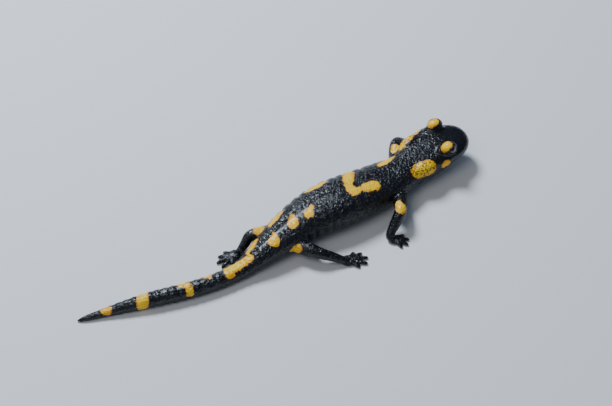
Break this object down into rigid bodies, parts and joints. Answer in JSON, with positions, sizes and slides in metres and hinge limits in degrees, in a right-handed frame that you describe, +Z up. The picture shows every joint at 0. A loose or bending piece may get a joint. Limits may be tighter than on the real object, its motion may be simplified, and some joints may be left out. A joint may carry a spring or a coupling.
{
  "type": "fire salamander model",
  "caption": "Life-size still model of a walking fire salamander, black with yellow spots, resting on the soles and the tail.",
  "frame": {"origin": "middle of the animal's box, on the floor that it walks on", "axes": "+X along the trunk towards the head, +Y to the animal's left, +Z up"},
  "size_m": [0.181, 0.0494, 0.0179],
  "materials": {
    "skin": "wet, glossy, black with yellow spots",
    "eye": "wet, very glossy"
  },
  "bodies": {
    "root": {"head": "skin", "lower_jaw": "skin", "eye_left": "eye", "eye_right": "eye", "neck": "skin", "torso": "skin", "tail_base": "skin", "tail_middle": "skin", "tail_tip": "skin", "upper_arm_right": "skin", "forearm_right": "skin", "hand_right": "skin", "upper_arm_left": "skin", "forearm_left": "skin", "hand_left": "skin", "thigh_right": "skin", "shank_right": "skin", "foot_right": "skin", "thigh_left": "skin", "shank_left": "skin", "foot_left": "skin"}
  },
  "joints": []
}
